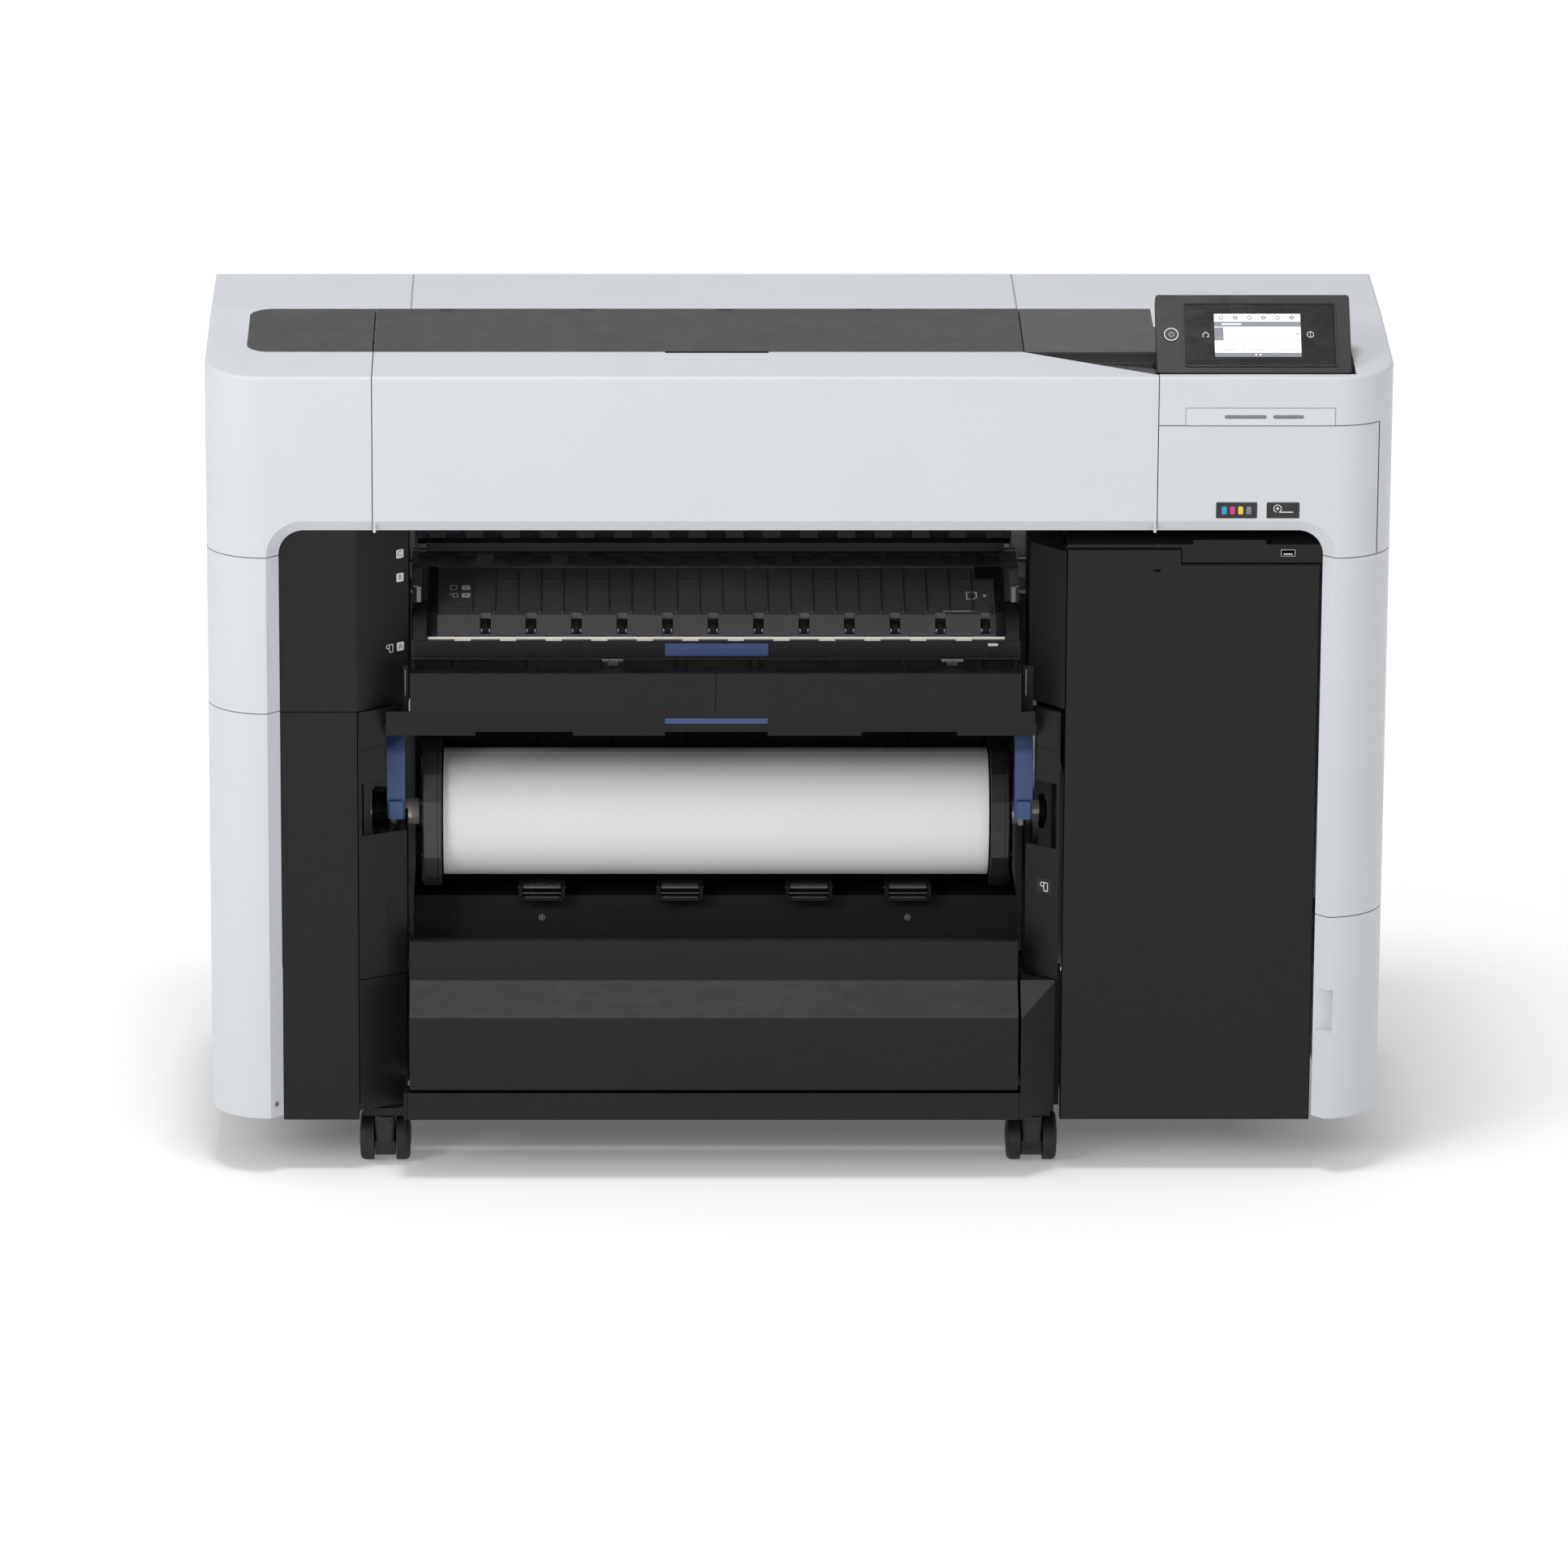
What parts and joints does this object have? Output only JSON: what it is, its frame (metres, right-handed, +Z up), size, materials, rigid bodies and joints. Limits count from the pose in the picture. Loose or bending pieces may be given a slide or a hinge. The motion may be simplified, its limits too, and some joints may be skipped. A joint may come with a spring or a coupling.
{
  "type": "large format plotter",
  "caption": "Free-standing roll-fed ink-jet plotter with hinged top cover, tilting touch panel, paper exit guide, paper roll on a spindle, ink door, catch bin and twin-wheel casters",
  "frame": {"origin": "on the floor, under the middle of the overall box", "axes": "+Z up, +X to the user's right, -Y towards the user"},
  "size_m": [1.308, 0.6, 0.9893],
  "materials": {
    "white_plastic": "cool white moulded ABS with a fine silver fleck and a spark-eroded texture",
    "black_plastic": "black moulded ABS with a fine matt texture",
    "band_plastic": "dark grey smoked plastic, satin",
    "guide_plastic": "warm dark grey moulded plastic, slightly worn by paper",
    "liner_plastic": "near black moulded plastic, matt",
    "panel_plastic": "satin black moulded plastic",
    "screen_glass": "dark glossy touch glass",
    "button_plastic": "satin black key",
    "cartridge_plastic": "dark moulded plastic with paper labels",
    "blue_plastic": "slate blue moulded plastic",
    "flange_plastic": "purplish grey translucent-looking plastic",
    "paper": "matt white plotter paper",
    "rubber": "matt black rubber",
    "roller_metal": "turned aluminium, fine circular marks",
    "spindle_steel": "polished steel shaft",
    "chassis_steel": "zinc plated sheet steel",
    "supply_steel": "zinc plated steel case",
    "board": "green solder mask with dark chips",
    "caster_plastic": "black nylon",
    "wheel_plastic": "black nylon tread, scuffed"
  },
  "bodies": {
    "root": {"left_top_cover": "white_plastic", "left_middle_cover": "white_plastic", "left_lower_cover": "white_plastic", "right_top_cover": "white_plastic", "right_front_cover": "white_plastic", "right_lower_cover": "white_plastic", "rear_top_cover": "white_plastic", "rear_cover": "white_plastic", "left_band_insert": "band_plastic", "panel_deck": "band_plastic", "left_upper_fascia": "black_plastic", "left_cabinet_cover": "black_plastic", "left_inner_column": "black_plastic", "right_upper_fascia": "black_plastic", "right_inner_column": "black_plastic", "usb_shelf": "black_plastic", "lower_front_frame": "black_plastic", "bay_liner": "liner_plastic", "cartridge_bay": "liner_plastic", "ink_cartridges": "cartridge_plastic", "maintenance_tank": "cartridge_plastic", "platen": "guide_plastic", "star_wheel_bar": "black_plastic", "carriage_rail": "chassis_steel", "carriage_belt": "rubber", "roller_brackets": "liner_plastic", "base_frame": "chassis_steel", "main_board": "board", "power_supply": "supply_steel"},
    "front_cover": {"front_cover": "white_plastic", "cover_window": "band_plastic"},
    "control_panel": {"control_panel": "panel_plastic", "touch_screen": "screen_glass"},
    "power_button": {"power_button": "button_plastic"},
    "ink_door": {"ink_door": "black_plastic"},
    "maintenance_cover": {"maintenance_cover": "white_plastic"},
    "paper_guide": {"paper_guide": "guide_plastic"},
    "roll_cover": {"roll_cover": "black_plastic"},
    "roll": {"roll_spindle": "spindle_steel", "left_flange": "flange_plastic", "right_flange": "black_plastic", "paper_roll": "paper"},
    "left_lever": {"left_lock_lever": "blue_plastic"},
    "right_lever": {"right_lock_lever": "blue_plastic"},
    "carriage": {"print_carriage": "black_plastic"},
    "drive_pulley": {"drive_pulley": "roller_metal"},
    "idler_pulley": {"idler_pulley": "roller_metal"},
    "feed_roller": {"feed_roller": "roller_metal"},
    "pinch_rollers": {"pinch_rollers": "rubber"},
    "support_rollers": {"support_rollers": "roller_metal"},
    "catch_bin": {"catch_bin": "black_plastic"},
    "front_left_swivel": {"front_left_caster": "caster_plastic"},
    "front_left_wheel": {"front_left_wheels": "wheel_plastic"},
    "front_right_swivel": {"front_right_caster": "caster_plastic"},
    "front_right_wheel": {"front_right_wheels": "wheel_plastic"},
    "rear_left_swivel": {"rear_left_caster": "caster_plastic"},
    "rear_left_wheel": {"rear_left_wheels": "wheel_plastic"},
    "rear_right_swivel": {"rear_right_caster": "caster_plastic"},
    "rear_right_wheel": {"rear_right_wheels": "wheel_plastic"}
  },
  "joints": [
    {"name": "front_cover_hinge", "type": "hinge", "parent": "root", "child": "front_cover", "pos_m": [-0.038, -0.0355, 0.9385], "axis": [-1, 0, 0], "range_deg": [0, 62]},
    {"name": "panel_tilt", "type": "hinge", "parent": "root", "child": "control_panel", "pos_m": [0.503, -0.255, 0.917], "axis": [1, 0, 0], "range_deg": [0, 25]},
    {"name": "power_button_press", "type": "slide", "parent": "control_panel", "child": "power_button", "axis": [0, 0.7373, -0.6756], "range_m": [0, 0.0008], "stiffness_N_per_m": 500},
    {"name": "ink_door_hinge", "type": "hinge", "parent": "root", "child": "ink_door", "pos_m": [0.575, -0.265, 0.39], "axis": [0, 0, 1], "range_deg": [0, 100]},
    {"name": "maintenance_cover_hinge", "type": "hinge", "parent": "root", "child": "maintenance_cover", "pos_m": [0.654, -0.06, 0.183], "axis": [0, 0, 1], "range_deg": [0, 85]},
    {"name": "paper_guide_tilt", "type": "hinge", "parent": "root", "child": "paper_guide", "pos_m": [-0.09, -0.092, 0.64], "axis": [-1, 0, 0], "range_deg": [0, 47]},
    {"name": "roll_cover_hinge", "type": "hinge", "parent": "root", "child": "roll_cover", "pos_m": [-0.091, -0.2635, 0.5765], "axis": [-1, 0, 0], "range_deg": [0, 75]},
    {"name": "roll_spin", "type": "hinge", "parent": "root", "child": "roll", "pos_m": [-0.1, -0.13, 0.381], "axis": [1, 0, 0], "continuous": true},
    {"name": "left_lever_release", "type": "hinge", "parent": "root", "child": "left_lever", "pos_m": [-0.446, -0.118, 0.503], "axis": [-1, 0, 0], "range_deg": [0, 20]},
    {"name": "right_lever_release", "type": "hinge", "parent": "root", "child": "right_lever", "pos_m": [0.253, -0.118, 0.503], "axis": [-1, 0, 0], "range_deg": [0, 20]},
    {"name": "carriage_travel", "type": "slide", "parent": "root", "child": "carriage", "axis": [1, 0, 0], "range_m": [-0.7, 0]},
    {"name": "drive_pulley_turn", "type": "hinge", "parent": "root", "child": "drive_pulley", "pos_m": [0.43, 0.024, 0.878], "axis": [0, 1, 0], "range_deg": [-3400, 0]},
    {"name": "idler_pulley_turn", "type": "hinge", "parent": "root", "child": "idler_pulley", "pos_m": [-0.462, 0.024, 0.878], "axis": [0, 1, 0], "range_deg": [-3400, 0]},
    {"name": "feed_roller_turn", "type": "hinge", "parent": "root", "child": "feed_roller", "pos_m": [-0.09, 0.005, 0.64], "axis": [1, 0, 0], "continuous": true},
    {"name": "pinch_rollers_turn", "type": "hinge", "parent": "root", "child": "pinch_rollers", "pos_m": [-0.09, 0.005, 0.6593], "axis": [1, 0, 0], "continuous": true},
    {"name": "support_rollers_turn", "type": "hinge", "parent": "root", "child": "support_rollers", "pos_m": [-0.078, -0.152, 0.298], "axis": [1, 0, 0], "continuous": true},
    {"name": "catch_bin_tilt", "type": "hinge", "parent": "root", "child": "catch_bin", "pos_m": [-0.092, -0.2985, 0.1075], "axis": [1, 0, 0], "range_deg": [0, 30]},
    {"name": "front_left_swivel", "type": "hinge", "parent": "root", "child": "front_left_swivel", "pos_m": [-0.46, -0.238, 0.064], "axis": [0, 0, 1], "continuous": true},
    {"name": "front_left_roll", "type": "hinge", "parent": "front_left_swivel", "child": "front_left_wheel", "pos_m": [-0.46, -0.22, 0.028], "axis": [1, 0, 0], "continuous": true},
    {"name": "front_right_swivel", "type": "hinge", "parent": "root", "child": "front_right_swivel", "pos_m": [0.266, -0.238, 0.064], "axis": [0, 0, 1], "continuous": true},
    {"name": "front_right_roll", "type": "hinge", "parent": "front_right_swivel", "child": "front_right_wheel", "pos_m": [0.266, -0.22, 0.028], "axis": [1, 0, 0], "continuous": true},
    {"name": "rear_left_swivel", "type": "hinge", "parent": "root", "child": "rear_left_swivel", "pos_m": [-0.46, 0.222, 0.064], "axis": [0, 0, 1], "continuous": true},
    {"name": "rear_left_roll", "type": "hinge", "parent": "rear_left_swivel", "child": "rear_left_wheel", "pos_m": [-0.46, 0.24, 0.028], "axis": [1, 0, 0], "continuous": true},
    {"name": "rear_right_swivel", "type": "hinge", "parent": "root", "child": "rear_right_swivel", "pos_m": [0.266, 0.222, 0.064], "axis": [0, 0, 1], "continuous": true},
    {"name": "rear_right_roll", "type": "hinge", "parent": "rear_right_swivel", "child": "rear_right_wheel", "pos_m": [0.266, 0.24, 0.028], "axis": [1, 0, 0], "continuous": true}
  ],
  "couplings": [
    {"joint": "drive_pulley_turn", "follows": "carriage_travel", "rad_per_m": 83.333},
    {"joint": "idler_pulley_turn", "follows": "carriage_travel", "rad_per_m": 83.333},
    {"joint": "pinch_rollers_turn", "follows": "feed_roller_turn", "ratio": -1.7143}
  ]
}
